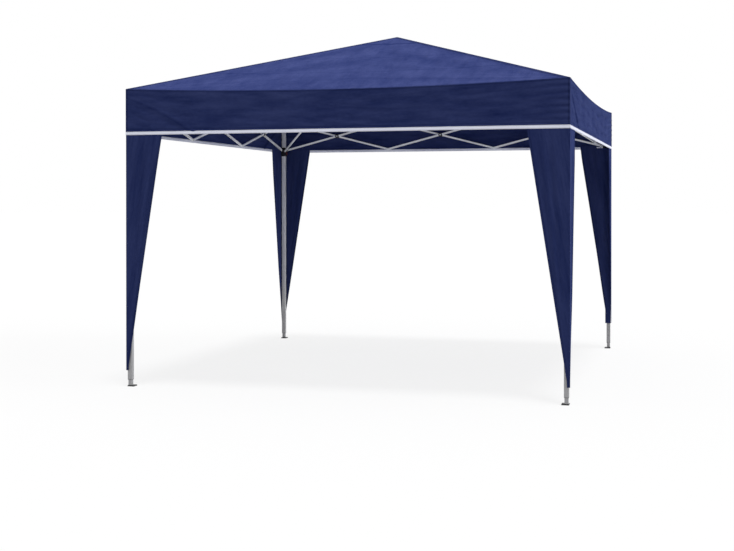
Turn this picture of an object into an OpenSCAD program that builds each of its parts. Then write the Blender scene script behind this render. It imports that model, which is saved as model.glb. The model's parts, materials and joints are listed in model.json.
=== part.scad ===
// Pop up gazebo: a square cloth canopy on a folding scissor frame with four legs.
// Millimetres, +Z up. The origin is on the ground, midway between the four feet.
// Corner 0 is front left, and corners and sides count anticlockwise seen from above.

/* [Canopy] */
// Width of the canopy over the outside of its valance
canopy_w = 3000; // [2400:10:3600]
// Height of the canopy's corners above the ground
eave_h = 2014; // [1900:1:2300]
// Height of the peak above the rafter pivots on the hub
peak_rise = 188.3; // [150:0.1:320]
// Drop of the valance from the corner to the lower edge of its trim
valance_drop = 312; // [200:1:380]
// Height of the pale trim along the valance
trim_h = 22; // [10:1:40]
// Thickness of the canopy cloth
cloth_t = 1.2; // [0.8:0.1:2]
// How far the eave hangs down halfway along a side
eave_sag = 36; // [0:1:60]
// Depth of the soft ripples in the valance
valance_ripple = 4; // [0:0.5:4]

/* [Leg curtains] */
// Width of a curtain wing where it leaves the valance
curtain_top_w = 270; // [150:1:360]
// Width of a curtain wing at its lower end
curtain_end_w = 24; // [15:1:60]
// Height of a curtain's lower end above the ground
curtain_end_h = 110; // [60:1:400]
// Depth of the curtain's hanging folds
curtain_fold = 9; // [0:0.5:15]

/* [Legs] */
// Outside width of the square upper leg
leg_w = 30; // [26:0.5:32]
// Wall of the upper leg
leg_wall = 1; // [0.8:0.1:1.5]
// Distance from a leg's centre to the outside of the canopy
leg_inset = 24; // [24:0.5:40]
// Height of the upper leg's lower end above the ground
leg_end_h = 48; // [20:1:120]
// Outside width of the square lower leg
lower_leg_w = 24; // [18:0.5:24.5]
// Wall of the lower leg
lower_leg_wall = 0.9; // [0.8:0.1:1.5]
// Length of the lower leg that stays inside the upper leg
lower_leg_hidden = 650; // [450:10:1000]
// Width of the square foot plate
foot_w = 47; // [40:1:80]
// Thickness of the foot plate
foot_t = 8; // [3:0.5:12]
// Distance from the leg's centre to the outer edges of the foot plate
foot_edge = 16; // [14:0.5:20]
// Diameter of the ground peg's hole in the foot plate
peg_hole_d = 9; // [6:0.5:10]
// Distance between the snap holes that set the leg's height
snap_pitch = 50; // [30:1:60]
// Number of snap holes in the leg
snap_count = 5; // [2:1:6]

/* [Truss] */
// Depth of the upper truss pivots below the canopy's corners
pivot_drop = 44; // [40:0.5:90]
// Angle of the truss bars above the horizontal when the frame is open
open_angle = 14.3; // [10:0.1:20]
// Distance from a leg's centre to its truss pivots
pivot_out = 34; // [33:0.5:45]
// Height of a truss bar's section
bar_h = 15; // [14:0.5:16]
// Thickness of a truss bar's section
bar_t = 12; // [8:0.5:12]
// Wall of the truss bars, rafters and struts
bar_wall = 0.8; // [0.6:0.1:1.5]
// Length of a bar past its end pivots
bar_over = 8; // [7:0.5:10]
// Gap between the two layers of a truss, held by spacers
layer_gap = 3; // [2:0.1:4]
// Diameter of the rivets
rivet_d = 6; // [4:0.5:6]

/* [Roof frame] */
// Length of a rafter between its pivots
rafter_l = 900; // [800:5:950]
// Angle of a rafter below the horizontal when the frame is open
rafter_dip = 6; // [3:0.1:8]
// Height of the rafter pivot above the upper truss pivot
rafter_up = 25; // [25:0.5:28]
// Distance from a leg's centre to its rafter pivot, along the diagonal
rafter_in = 24; // [23:0.5:26]
// Height of a rafter's section
rafter_h = 18; // [14:0.5:18]
// Thickness of a rafter's section
rafter_t = 14; // [10:0.5:14]
// Height of a strut's section
strut_h = 13; // [12:0.5:16]
// Thickness of a strut's section
strut_t = 10; // [6:0.5:10]
// Width of the peak hub's plate
hub_d = 96; // [90:1:140]
// Diameter of the post that carries the peak
post_d = 22; // [16:0.5:24]
// Diameter of the cap on the post
cap_d = 90; // [60:1:120]

/* [Sliders] */
// Height of a slider
slider_h = 78; // [70:1:110]
// Height of a slider above its truss pivots
slider_up = 23; // [18:1:30]
// Wall of a slider
slider_wall = 4; // [3:0.1:4]
// Width of the square release button
button_w = 24; // [10:0.5:26]
// Travel of the release button
button_travel = 4; // [2:0.5:5]
// Diameter of the leg's snap button
snap_d = 8; // [5:0.5:10]

/* [Hidden] */
CORNERS = ["front_left", "front_right", "back_right", "back_left"];
SIDES = ["front", "right", "back", "left"];
QUARTERS = [0, 1, 2, 3];
BARS = [0, 1, 2];
CLOTH = ["canopy_roof", "canopy_valance", "leg_curtains"];
CORNER_PARTS = ["leg", "lower_leg", "slider", "slider_button", "leg_button", "strut", "rafter",
    "peak_rafter"];

$fn = 32;
eps = 0.01;

// Clearances
run_gap = 0.05;    // a rivet in its hole
side_gap = 0.3;    // two faces that pass each other
seat_gap = 0.05;   // a fixed piece on its seat
slide_gap = 0.4;   // a slider on its leg
swing_gap = 0.7;   // a bar's end in its slot

// Rivets and the moulded ears that hold them
head_d = 12;
head_t = 2;
cross_spacer_d = 30;
end_spacer_d = 14;
ear_r = 11;

// Places worked out from the driving sizes
canopy_r = canopy_w / 2;
leg_r = canopy_r - leg_inset;
trim_z = eave_h - valance_drop;
cell_w = 2 * (leg_r - pivot_out) / 3;
cell_h = cell_w * tan(open_angle);
bar_l = cell_w / cos(open_angle);
top_pivot_h = eave_h - pivot_drop;
low_pivot_h = top_pivot_h - cell_h;
layer_y = (layer_gap + bar_t) / 2;
sleeve_r = leg_w / 2 + slide_gap + slider_wall;
diag_leg = leg_r * sqrt(2);

// The rafter and the peak rafter close exactly on the hub while every bar turns by the same angle:
// rafter vector + peak rafter vector = one and a half diagonal bars, as seen along the truss angle.
reach = 1.5 * sqrt(2) * bar_l;
peak_x = reach * cos(open_angle) - rafter_l * cos(rafter_dip);
peak_z = reach * sin(open_angle) - rafter_l * sin(rafter_dip);
peak_rafter_l = norm([peak_x, peak_z]);
peak_angle = atan2(peak_z, peak_x);
rafter_pivot_h = top_pivot_h + rafter_up;
hub_pivot_r = pivot_out * sqrt(2) - rafter_in;
hub_pivot_h = rafter_pivot_h - rafter_l * sin(rafter_dip) + peak_z;
peak_h = hub_pivot_h + peak_rise;
corner_x = rafter_in - diag_leg;
knuckle = [corner_x + rafter_l * cos(rafter_dip), 0, rafter_pivot_h - rafter_l * sin(rafter_dip)];
peak_rafter_y = rafter_t + side_gap;
fold_angle = 69.5;

// The strut's lower pivot on the slider's inner corner
strut_in = 50;
strut_ear_t = 6;
strut_ear_w = 18;
strut_drop = 8;
strut_y = -(rafter_t + strut_t) / 2 - side_gap;
strut_foot = [strut_in - diag_leg, strut_y, low_pivot_h - strut_drop];

// The strut's upper pivot lies where the strut meets the slider both open and folded
strut_reach = strut_in - rafter_in;
shut_dip = rafter_dip + fold_angle;
open_drop = rafter_pivot_h - strut_foot.z;
shut_drop = open_drop + bar_l * (sin(open_angle + fold_angle) - sin(open_angle));
strut_along = (shut_drop * shut_drop - open_drop * open_drop) / 2 /
    (shut_drop * sin(shut_dip) - open_drop * sin(rafter_dip)
        - strut_reach * (cos(rafter_dip) - cos(shut_dip)));
strut_top = [corner_x + strut_along * cos(rafter_dip), strut_y,
    rafter_pivot_h - strut_along * sin(rafter_dip)];
strut_l = norm(strut_foot - strut_top);
strut_angle = atan2(strut_top.z - strut_foot.z, strut_top.x - strut_foot.x);

// Top bracket on a leg
leg_top_drop = 10;
leg_top_h = top_pivot_h - leg_top_drop;
bracket_skirt = 26;
bracket_gap = 0.8;
bracket_top_h = eave_h - cloth_t - bracket_gap;
rafter_boss_r = 10;
rafter_boss_w = rafter_t + 10;
slot_reach = 60;
slot_below = 20;

// Lower leg
bush_h = 40;
bush_lip = 2;
plug_h = 20;
snap_low = 62;
snap_h = snap_low + snap_pitch * (snap_count - 1);
snap_hole_gap = 0.5;
snap_depth = 6;
snap_flange = 1.5;
snap_flange_d = snap_d + 3;
snap_proud = 0.1;
foot_mid = foot_w / 2 - foot_edge;
peg_at = foot_w - foot_edge - peg_hole_d;

// Slider button
button_low = 24;
button_wall = 3;
button_proud = 4;
button_box_out = 8;
button_foot = sleeve_r - slide_gap;
button_out = button_foot + button_travel + button_box_out;

// Hub
hub_plate_t = 4;
hub_plate_gap = 1;
hub_plate_z = hub_pivot_h + norm([bar_over, rafter_h / 2]) + hub_plate_gap;
hub_ear_t = 4;
hub_ear_in = 12;
hub_ear_out = 34;
cap_rim = 4;
cap_tip_r = 6;
cap_steeper = 0.02;
roof_slope = (peak_h - eave_h) / canopy_r;

// Cloth grids
roof_cells = 20;
valance_cells = 20;
valance_rows = 4;
ripples_a_side = 9;
ripple_from = 60;
ripple_over = 200;
curtain_cells = 7;
curtain_rows = 14;
folds_a_wing = 3;
curtain_lap = 30;
fold_from = 45;
fold_over = 60;
fold_below = 12;
fold_grows_over = 200;
cloth_gap = 0.3;

// Frames. A corner's frame turns corner 0 onto it, and a diagonal's +X points to the peak.
module corner(i) { rotate([0, 0, 90 * i]) children(); }
module leg_at(i) { corner(i) translate([-leg_r, -leg_r, 0]) children(); }
module diagonal(i) { rotate([0, 0, 90 * i + 45]) children(); }

// A cylinder along +Y from y0 to y1
module along_y(d, y0, y1) {
    translate([0, y1, 0]) rotate([90, 0, 0]) cylinder(d = d, h = y1 - y0);
}

// A box centred on X and Y that stands from z0 to z1
module post(w, z0, z1) {
    translate([-w / 2, -w / 2, z0]) cube([w, w, z1 - z0]);
}

// A square tube that stands from z0 to z1
module leg_tube(w, wall, z0, z1) {
    difference() {
        post(w, z0, z1);
        post(w - 2 * wall, z0 - 1, z1 + 1);
    }
}

// A flat tube along +X whose pivots lie at 0 and at l, with bores at the places in holes
module bar(l, h, t, holes) {
    difference() {
        translate([-bar_over, -t / 2, -h / 2]) cube([l + 2 * bar_over, t, h]);
        translate([-bar_over - 1, bar_wall - t / 2, bar_wall - h / 2])
            cube([l + 2 * bar_over + 2, t - 2 * bar_wall, h - 2 * bar_wall]);
        for (x = holes)
            translate([x, 0, 0]) along_y(rivet_d + 2 * run_gap, -t, t);
    }
}

// A rivet along +Y from y0, through a part that ends at y1, with its head beyond
module rivet(y0, y1) {
    along_y(rivet_d, y0, y1 + side_gap + head_t);
    along_y(head_d, y1 + side_gap, y1 + side_gap + head_t);
}

// A moulded ear along +X from x0 to the pivot at x1, between y0 and y1
module ear(x0, x1, y0, y1, r) {
    translate([x0, y0, -r]) cube([x1 - x0, y1 - y0, 2 * r]);
    translate([x1, 0, 0]) along_y(2 * r, y0, y1);
}

// The pair of truss ears at height z: one along +X for the inner or the outer layer, and one
// along +Y for the other. Each ear stands where the other layer would be.
module truss_ears(z, x_layer_inner) {
    near = layer_gap / 2 - side_gap;
    far = layer_gap / 2 + bar_t;
    flip = x_layer_inner ? 0 : 1;
    translate([0, 0, z]) {
        mirror([0, flip, 0]) {
            ear(leg_w / 2 + slide_gap, pivot_out, -far, near, ear_r);
            translate([pivot_out, 0, 0]) rivet(-far, far);
        }
        mirror([flip, 0, 0]) rotate([0, 0, 90]) {
            ear(leg_w / 2 + slide_gap, pivot_out, -far, near, ear_r);
            translate([pivot_out, 0, 0]) rivet(-far, far);
        }
    }
}

// The slot that a rafter's end swings in, from its open place down to its folded one
module rafter_slot() {
    swing = norm([bar_over, rafter_h / 2]) + swing_gap;
    half = rafter_h / 2 + swing_gap;
    low = bracket_skirt + rafter_up + slot_below;
    turn = fold_angle + rafter_dip;
    back = [-half * sin(turn), -half * cos(turn)];
    foot = [back.x + (low + back.y) / tan(turn), -low];
    translate([rafter_in, 0, rafter_pivot_h]) rotate([90, 0, 0])
        linear_extrude(rafter_t + 2 * side_gap, center = true) {
            polygon([back, foot, [slot_reach, -low], [slot_reach, half], [0, half]]);
            circle(r = swing);
        }
}

// Upper leg: the tube with its snap holes, its top bracket and the bush in its lower end
module leg(i) {
    color("lightgray") leg_at(i) {
        difference() {
            leg_tube(leg_w, leg_wall, leg_end_h, leg_top_h);
            for (n = [0:snap_count - 1])
                translate([0, leg_w / 2, leg_end_h + snap_low + snap_pitch * n])
                    along_y(snap_d + 2 * snap_hole_gap, -leg_wall - 1, 1);
        }
        top_bracket();
        leg_bush();
    }
}

module top_bracket() {
    rafter_axis = [rafter_in, 0, rafter_pivot_h];
    difference() {
        union() {
            post(2 * sleeve_r, leg_top_h - bracket_skirt, bracket_top_h);
            truss_ears(top_pivot_h, true);
            rotate([0, 0, 45]) translate(rafter_axis)
                along_y(2 * rafter_boss_r, -rafter_boss_w / 2, rafter_boss_w / 2);
        }
        post(leg_w + 2 * seat_gap, leg_top_h - bracket_skirt - 1, leg_top_h + seat_gap);
        rotate([0, 0, 45]) rafter_slot();
    }
    rotate([0, 0, 45]) translate(rafter_axis)
        along_y(rivet_d, -rafter_boss_w / 2, rafter_boss_w / 2);
}

module leg_bush() {
    inner = lower_leg_w + 2 * side_gap;
    translate([0, 0, leg_end_h - seat_gap])
        difference() {
            union() {
                post(leg_w - 2 * leg_wall - 2 * seat_gap, 0, bush_h);
                post(leg_w, -bush_lip, 0);
            }
            post(inner, -bush_lip - 1, bush_h + 1);
        }
}

// Lower leg: the sliding tube and the foot plate under it
module lower_leg(i) {
    color("silver") leg_at(i) {
        difference() {
            leg_tube(lower_leg_w, lower_leg_wall, foot_t + seat_gap, leg_end_h + lower_leg_hidden);
            translate([0, lower_leg_w / 2, leg_end_h + snap_h])
                along_y(snap_d + 2 * run_gap, -lower_leg_wall - 1, 1);
        }
        foot();
    }
}

module foot() {
    plug_w = lower_leg_w - 2 * lower_leg_wall - 2 * seat_gap;
    difference() {
        translate([foot_mid, foot_mid, 0]) post(foot_w, 0, foot_t);
        translate([peg_at, peg_at, -1]) cylinder(d = peg_hole_d, h = foot_t + 2);
    }
    post(plug_w, foot_t - eps, foot_t + plug_h);
}

// Snap button, which stands behind the top snap hole when the leg is pushed in
module leg_button(i) {
    inside = lower_leg_w / 2 - lower_leg_wall;
    nose = lower_leg_w / 2 + snap_proud;
    color("silver") leg_at(i) translate([0, 0, leg_end_h + snap_h]) {
        along_y(snap_d, inside - snap_depth, nose);
        along_y(snap_flange_d, inside - side_gap - snap_flange, inside - side_gap);
    }
}

// Slider: the black sleeve that runs on the leg and carries the lower truss pivots
module slider(i) {
    low = low_pivot_h + slider_up - slider_h;
    color([0.08, 0.08, 0.09]) leg_at(i) {
        difference() {
            union() {
                post(2 * sleeve_r, low, low + slider_h);
                truss_ears(low_pivot_h, false);
                rotate([0, 0, 45]) strut_ear();
                button_box(low + button_low);
            }
            post(leg_w + 2 * slide_gap, low - 1, low + slider_h + 1);
            translate([0, 0, low + button_low]) button_way();
        }
    }
}

module strut_ear() {
    far = strut_y + strut_t / 2 + side_gap;
    translate([0, 0, strut_foot.z])
        ear(leg_w / 2 * sqrt(2), strut_in, far, far + strut_ear_t, strut_ear_w / 2);
}

module button_box(z) {
    w = button_w + 2 * button_wall;
    translate([-w / 2, 0, z - w / 2]) cube([w, button_out - button_proud, w]);
}

module button_way() {
    w = button_w + 2 * side_gap;
    translate([-w / 2, 0, -w / 2]) cube([w, button_out + 1, w]);
}

// Release button in its box on the slider
module slider_button(i) {
    low = low_pivot_h + slider_up - slider_h;
    inner = leg_w / 2 + side_gap + button_travel;
    color([0.6, 0.1, 0.08]) leg_at(i)
        translate([-button_w / 2, inner, low + button_low - button_w / 2])
            cube([button_w, button_out - inner, button_w]);
}

// Strut from the slider up to the rafter
module strut(i) {
    color("lightgray") diagonal(i) translate(strut_foot) rotate([0, -strut_angle, 0]) {
        bar(strut_l, strut_h, strut_t, [strut_l]);
        along_y(head_d, -strut_t / 2 - head_t, -strut_t / 2 + bar_wall);
    }
}

// Rafter from the top bracket in to the knuckle, with the rivets of the strut and the peak rafter
module rafter(i) {
    color("lightgray") diagonal(i) translate([corner_x, 0, rafter_pivot_h])
        rotate([0, rafter_dip, 0]) {
            bar(rafter_l, rafter_h, rafter_t, [0]);
            translate([rafter_l, 0, 0])
                rivet(-rafter_t / 2, peak_rafter_y + rafter_t / 2);
            translate([strut_along, 0, 0]) mirror([0, 1, 0])
                rivet(-rafter_t / 2, strut_t / 2 - strut_y);
        }
}

// Peak rafter from the knuckle up to the hub
module peak_rafter(i) {
    color("lightgray") diagonal(i) translate(knuckle + [0, peak_rafter_y, 0])
        rotate([0, -peak_angle, 0])
            bar(peak_rafter_l, rafter_h, rafter_t, [0, peak_rafter_l]);
}

// Truss bar k of side i that rises to the right, in the outer layer, with its rivets and spacers
module rising_bar(i, k) {
    all = [0, bar_l / 2, bar_l];
    free = k == 0 ? [0] : k == 2 ? [bar_l] : [];
    color("lightgray") corner(i)
        translate([cell_w * k - leg_r + pivot_out, -leg_r - layer_y, low_pivot_h])
            rotate([0, -open_angle, 0]) {
                bar(bar_l, bar_h, bar_t, free);
                for (x = all)
                    if (len(search(x, free)) == 0)
                        translate([x, 0, 0])
                            bar_rivet(x == bar_l / 2 ? cross_spacer_d : end_spacer_d);
            }
}

// A rivet from the outer layer through the inner one, with the spacer between them
module bar_rivet(spacer_d) {
    along_y(spacer_d, bar_t / 2 - bar_wall, bar_t / 2 + layer_gap - side_gap);
    rivet(-bar_t / 2, bar_t * 1.5 + layer_gap);
}

// Truss bar k of side i that falls to the right, in the inner layer
module falling_bar(i, k) {
    color("lightgray") corner(i)
        translate([cell_w * k - leg_r + pivot_out, layer_y - leg_r, top_pivot_h])
            rotate([0, open_angle, 0])
                bar(bar_l, bar_h, bar_t, [0, bar_l / 2, bar_l]);
}

// Peak hub: plate and ears for the peak rafters, and the post and cap that lift the cloth
module peak_hub() {
    post_top = peak_h - cloth_t - cloth_gap - cap_tip_r * roof_slope;
    cap_drop = (cap_d / 2 - cap_tip_r) * (roof_slope + cap_steeper);
    color([0.08, 0.08, 0.09]) {
        translate([0, 0, hub_plate_z]) cylinder(d = hub_d, h = hub_plate_t);
        cylinder_between(post_d, hub_plate_z, post_top - cap_drop);
        rotate_extrude()
            polygon([[0, post_top], [cap_tip_r, post_top], [cap_d / 2, post_top - cap_drop],
                [cap_d / 2, post_top - cap_drop - cap_rim], [0, post_top - cap_drop - cap_rim]]);
        for (i = QUARTERS)
            diagonal(i) hub_ears();
    }
}

module cylinder_between(d, z0, z1) {
    translate([0, 0, z0]) cylinder(d = d, h = z1 - z0);
}

module hub_ears() {
    half = rafter_t / 2 + side_gap;
    low = hub_pivot_h - rafter_h / 2;
    for (y = [peak_rafter_y - half - hub_ear_t, peak_rafter_y + half])
        translate([-hub_ear_out, y, low])
            cube([hub_ear_out - hub_ear_in, hub_ear_t, hub_plate_z + eps - low]);
    translate([-hub_pivot_r, peak_rafter_y, hub_pivot_h])
        along_y(rivet_d, -half - hub_ear_t / 2, half + hub_ear_t / 2);
}

// A closed sheet between two grids of points, outer and inner, of rows by columns
function flat_list(rows) = [for (row = rows) for (p = row) p];
function sheet_faces(rows, cols, base, out) = [
    for (r = [0:rows - 2]) for (c = [0:cols - 2]) each
        let (a = base + r * cols + c, b = a + 1, d = a + cols, e = d + 1)
            out ? [[a, b, d], [b, e, d]] : [[a, d, b], [b, d, e]]];
function rim_faces(ring, shift) = [
    for (n = [0:len(ring) - 1]) each
        let (a = ring[n], b = ring[(n + 1) % len(ring)])
            [[a, b + shift, b], [a, a + shift, b + shift]]];
function border(rows, cols) = concat(
    [for (c = [0:cols - 2]) c],
    [for (r = [0:rows - 2]) r * cols + cols - 1],
    [for (c = [cols - 1:-1:1]) (rows - 1) * cols + c],
    [for (r = [rows - 1:-1:1]) r * cols]);

module sheet(outer, inner) {
    rows = len(outer);
    cols = len(outer[0]);
    polyhedron(concat(flat_list(outer), flat_list(inner)),
        concat(sheet_faces(rows, cols, 0, true), sheet_faces(rows, cols, rows * cols, false),
            rim_faces(border(rows, cols), rows * cols)));
}

// Height of the roof cloth's upper face: straight hips, and panels that hang between them
function roof_z(x, y) =
    let (m = max(abs(x), abs(y)), s = m > 0 ? min(abs(x), abs(y)) / m : 1, out = m / canopy_r)
        eave_h + (peak_h - eave_h) * (1 - out) - eave_sag * (1 - s * s) * pow(out, 1.5);

// One quarter of the roof, from the middle lines out to the corner, so that the hip runs along
// the grid's diagonals
module roof_quarter() {
    half = roof_cells / 2;
    steps = [for (n = [0:half]) canopy_r * n / half];
    upper = [for (n = [half:-1:0]) [for (x = steps) [-x, -steps[n], roof_z(x, steps[n])]]];
    lower = [for (row = upper) [for (p = row) p - [0, 0, cloth_t]]];
    sheet(upper, lower);
}

module canopy_roof() {
    color([0.22, 0.29, 0.52])
        for (i = QUARTERS)
            corner(i) roof_quarter();
}

// A point of the valance on side 0: u runs from corner to corner, v from the eave down, and
// in is the distance from the outer face
function valance_point(u, v, in) =
    let (x = canopy_r * (2 * u - 1),
        near = min(u, 1 - u) * canopy_w,
        calm = min(1, max(0, near - ripple_from) / ripple_over),
        wave = valance_ripple * calm * sin(180 * v) * (1 - cos(360 * ripples_a_side * u)) / 2,
        top = roof_z(x, canopy_r) - cloth_t - cloth_gap)
            [x * (canopy_r - in) / canopy_r, -canopy_r + in + wave,
                top + (trim_z + trim_h - top) * v];

module canopy_valance() {
    us = [for (n = [0:valance_cells]) n / valance_cells];
    vs = [for (n = [0:valance_rows]) n / valance_rows];
    color([0.13, 0.16, 0.33])
        for (i = QUARTERS)
            corner(i) sheet(
                [for (v = vs) [for (u = us) valance_point(u, v, 0)]],
                [for (v = vs) [for (u = us) valance_point(u, v, cloth_t)]]);
    color("white") difference() {
        post(canopy_w, trim_z, trim_z + trim_h - seat_gap);
        post(canopy_w - 2 * cloth_t, trim_z - 1, trim_z + trim_h + 1);
    }
}

// Width of a curtain wing at height z
function wing_w(z) =
    curtain_end_w + (curtain_top_w - curtain_end_w) * min(1, (z - curtain_end_h) /
        (trim_z - curtain_end_h));

// A point of corner 0's curtain: s runs from the end of one wing (-1) round the corner (0) to the
// end of the other (1), and in is the distance from the outer face
function curtain_point(s, z, in) =
    let (edge = canopy_r - cloth_t - cloth_gap,
        along = abs(s) * wing_w(z),
        free = min(1, max(0, along - fold_from) / fold_over)
            * min(1, max(0, trim_z - fold_below - z) / fold_grows_over),
        fold = curtain_fold * free * pow(sin(180 * folds_a_wing * abs(s)), 2),
        a = max(along, in) - edge,
        b = in + fold - edge)
            s > 0 ? [a, b, z] : [b, a, z];

module leg_curtains() {
    stations = [for (n = [-curtain_cells:curtain_cells]) n / curtain_cells];
    heights = [for (n = [0:curtain_rows])
        trim_z + curtain_lap + (curtain_end_h - trim_z - curtain_lap) * n / curtain_rows];
    color([0.13, 0.16, 0.33])
        for (i = QUARTERS)
            corner(i) sheet(
                [for (z = heights) [for (s = stations) curtain_point(s, z, 0)]],
                [for (z = heights) [for (s = stations) curtain_point(s, z, cloth_t)]]);
}

module corner_part(part, i) {
    if (part == "leg") leg(i);
    if (part == "lower_leg") lower_leg(i);
    if (part == "slider") slider(i);
    if (part == "slider_button") slider_button(i);
    if (part == "leg_button") leg_button(i);
    if (part == "strut") strut(i);
    if (part == "rafter") rafter(i);
    if (part == "peak_rafter") peak_rafter(i);
}

for (i = QUARTERS) {
    for (part = CORNER_PARTS)
        corner_part(part, i);
    for (k = BARS)
        rising_bar(i, k);
    for (k = BARS)
        falling_bar(i, k);
}
peak_hub();
canopy_roof();
canopy_valance();
leg_curtains();
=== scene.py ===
# %% [markdown]
# # A pop up gazebo, dressed
#
# The solids of the folding frame come from CAD and stay as they are: legs, truss bars, rafters, sliders and
# hub. This lesson makes what CAD leaves plain: the cloth of the roof, the valance and the leg curtains, the
# sewn trim, the black caps on the rivets, and a finish for every surface. Everything is in metres, in the
# frame's own axes: +Z is up, and -Y is the front.

# %% Load the frame
import json
import math

import bmesh
import bpy
import numpy as np
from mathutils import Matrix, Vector


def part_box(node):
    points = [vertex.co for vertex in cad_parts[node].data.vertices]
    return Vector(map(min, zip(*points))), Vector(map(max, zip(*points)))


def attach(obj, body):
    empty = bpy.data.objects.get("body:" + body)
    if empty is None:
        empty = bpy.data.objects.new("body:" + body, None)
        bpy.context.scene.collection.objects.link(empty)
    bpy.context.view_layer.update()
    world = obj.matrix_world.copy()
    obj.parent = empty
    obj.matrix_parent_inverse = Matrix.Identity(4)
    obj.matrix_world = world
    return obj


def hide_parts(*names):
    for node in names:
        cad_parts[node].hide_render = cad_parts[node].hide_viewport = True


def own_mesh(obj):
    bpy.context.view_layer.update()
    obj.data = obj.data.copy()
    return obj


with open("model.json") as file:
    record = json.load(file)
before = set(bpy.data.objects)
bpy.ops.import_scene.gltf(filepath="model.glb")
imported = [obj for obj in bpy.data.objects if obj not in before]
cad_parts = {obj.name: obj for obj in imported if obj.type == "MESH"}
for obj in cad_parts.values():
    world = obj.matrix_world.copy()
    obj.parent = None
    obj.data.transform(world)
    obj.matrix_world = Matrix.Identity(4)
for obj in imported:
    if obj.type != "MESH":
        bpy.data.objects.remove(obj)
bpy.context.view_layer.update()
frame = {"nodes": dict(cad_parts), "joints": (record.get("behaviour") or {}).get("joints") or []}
joints = {joint["name"]: joint for joint in frame["joints"]}
print("nodes:", len(frame["nodes"]), "joints:", len(joints))

# %% [markdown]
# ## The camera
#
# The photograph was taken from a little right of the middle, at about chest height, with a long lens. The
# place, the turn and the lens were worked out from the canopy's corners and the feet. The picture was cropped
# afterwards, and a small lens shift gives the same crop.

# %% Camera
CAMERA_PLACE = (2.3592, -8.7664, 1.2465)
CAMERA_TURN = math.radians(14.78)
CAMERA_TILT = math.radians(-0.266)
PICTURE_W, PICTURE_H = 734, 551
FOCAL_PX = 1183.18
CENTRE_PX = (403.12, 207.95)

camera_data = bpy.data.cameras.new("camera")
camera = bpy.data.objects.new("camera", camera_data)
bpy.context.scene.collection.objects.link(camera)
camera.location = CAMERA_PLACE
camera.rotation_euler = (math.pi / 2 + CAMERA_TILT, 0, CAMERA_TURN)
camera_data.sensor_width = 36
camera_data.lens = FOCAL_PX * camera_data.sensor_width / PICTURE_W
camera_data.shift_x = (PICTURE_W / 2 - CENTRE_PX[0]) / PICTURE_W
camera_data.shift_y = (CENTRE_PX[1] - PICTURE_H / 2) / PICTURE_W
camera_data.clip_end = 500
bpy.context.scene.camera = camera
print("lens:", round(camera_data.lens, 2), "mm")

# %% [markdown]
# ## Sizes from the frame
#
# The canopy's half width, its heights and the fold come from the CAD boxes and joints, so the cloth always
# fits the frame it was packed with. Corner 0 is front left, and corners and sides count anticlockwise.

# %% Sizes
CORNERS = ["front_left", "front_right", "back_right", "back_left"]
SIDES = ["front", "right", "back", "left"]
CELLS = 3
CLOTH_T = 0.0008
CAD_CLOTH_T = 0.0012
CAD_CLOTH_GAP = 0.0003
EAVE_SAG = 0.036

_, roof_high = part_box("canopy_roof")
valance_low, valance_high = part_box("canopy_valance")
curtain_low, curtain_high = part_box("leg_curtains")
canopy_r = roof_high.x
peak_z = roof_high.z
eave_z = valance_high.z + CAD_CLOTH_T + CAD_CLOTH_GAP
trim_z = valance_low.z
first_top = Vector(joints["front_start_top_fold"]["pos_m"])
last_top = Vector(joints["front_end_top_fold"]["pos_m"])
first_cross = Vector(joints["front_cross_1_fold"]["pos_m"])
cell_w = (last_top.x - first_top.x) / CELLS
cell_h = 2 * (first_top.z - first_cross.z)
leg_r = -first_top.y

# %% [markdown]
# ## From a grid of points to a piece of cloth
#
# Every sheet here is a function of two parameters. It is worked out on a whole grid at once with numpy, and
# the grid's squares become the faces. A UV map in metres goes with it, so that weave and stitching follow
# the cloth. Where a grid ends in one point, as at the peak, the doubled points are welded.

# %% Grid helpers
WELD = 1e-6


def turned(points, quarter):
    """The points turned by so many quarter turns about the vertical axis."""
    c, s = [(1, 0), (0, 1), (-1, 0), (0, -1)][quarter % 4]
    x, y, z = np.moveaxis(np.asarray(points, float), -1, 0)
    return np.stack([c * x - s * y, s * x + c * y, z], axis=-1)


def grid_faces(rows, cols, flip=False, wrap=False):
    """Corner numbers of a grid's squares; wrap joins the last column to the first."""
    r = np.arange(rows - 1)[:, None]
    c = np.arange(cols if wrap else cols - 1)[None, :]
    right = (c + 1) % cols
    quads = np.stack(np.broadcast_arrays(r * cols + c, (r + 1) * cols + c, (r + 1) * cols + right,
                                         r * cols + right), axis=-1).reshape(-1, 4)
    return quads[:, ::-1] if flip else quads


def sharpen_border(mesh):
    """Marks a sheet's border edges as sharp, so that its shading doesn't turn over the edge."""
    edge = np.zeros(len(mesh.loops), np.int32)
    mesh.loops.foreach_get("edge_index", edge)
    faces_at_edge = np.bincount(edge, minlength=len(mesh.edges))
    mesh.edges.foreach_set("use_edge_sharp", faces_at_edge == 1)


def piece_from(name, points, faces, uv=None, smooth=True, weld=0.0):
    """A new mesh object from an array of points, an array of faces and, for each point, a UV place."""
    mesh = bpy.data.meshes.new(name)
    mesh.from_pydata(np.asarray(points, float).reshape(-1, 3).tolist(), [], np.asarray(faces).tolist())
    if uv is not None:
        corner = np.zeros(len(mesh.loops), np.int32)
        mesh.loops.foreach_get("vertex_index", corner)
        layer = mesh.uv_layers.new(name="cloth")
        layer.data.foreach_set("uv", np.asarray(uv, np.float32).reshape(-1, 2)[corner].ravel())
    if weld:
        work = bmesh.new()
        work.from_mesh(mesh)
        bmesh.ops.remove_doubles(work, verts=work.verts, dist=weld)
        work.to_mesh(mesh)
        work.free()
    mesh.polygons.foreach_set("use_smooth", [smooth] * len(mesh.polygons))
    sharpen_border(mesh)
    mesh.update()
    piece = bpy.data.objects.new(name, mesh)
    bpy.context.scene.collection.objects.link(piece)
    return piece


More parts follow.
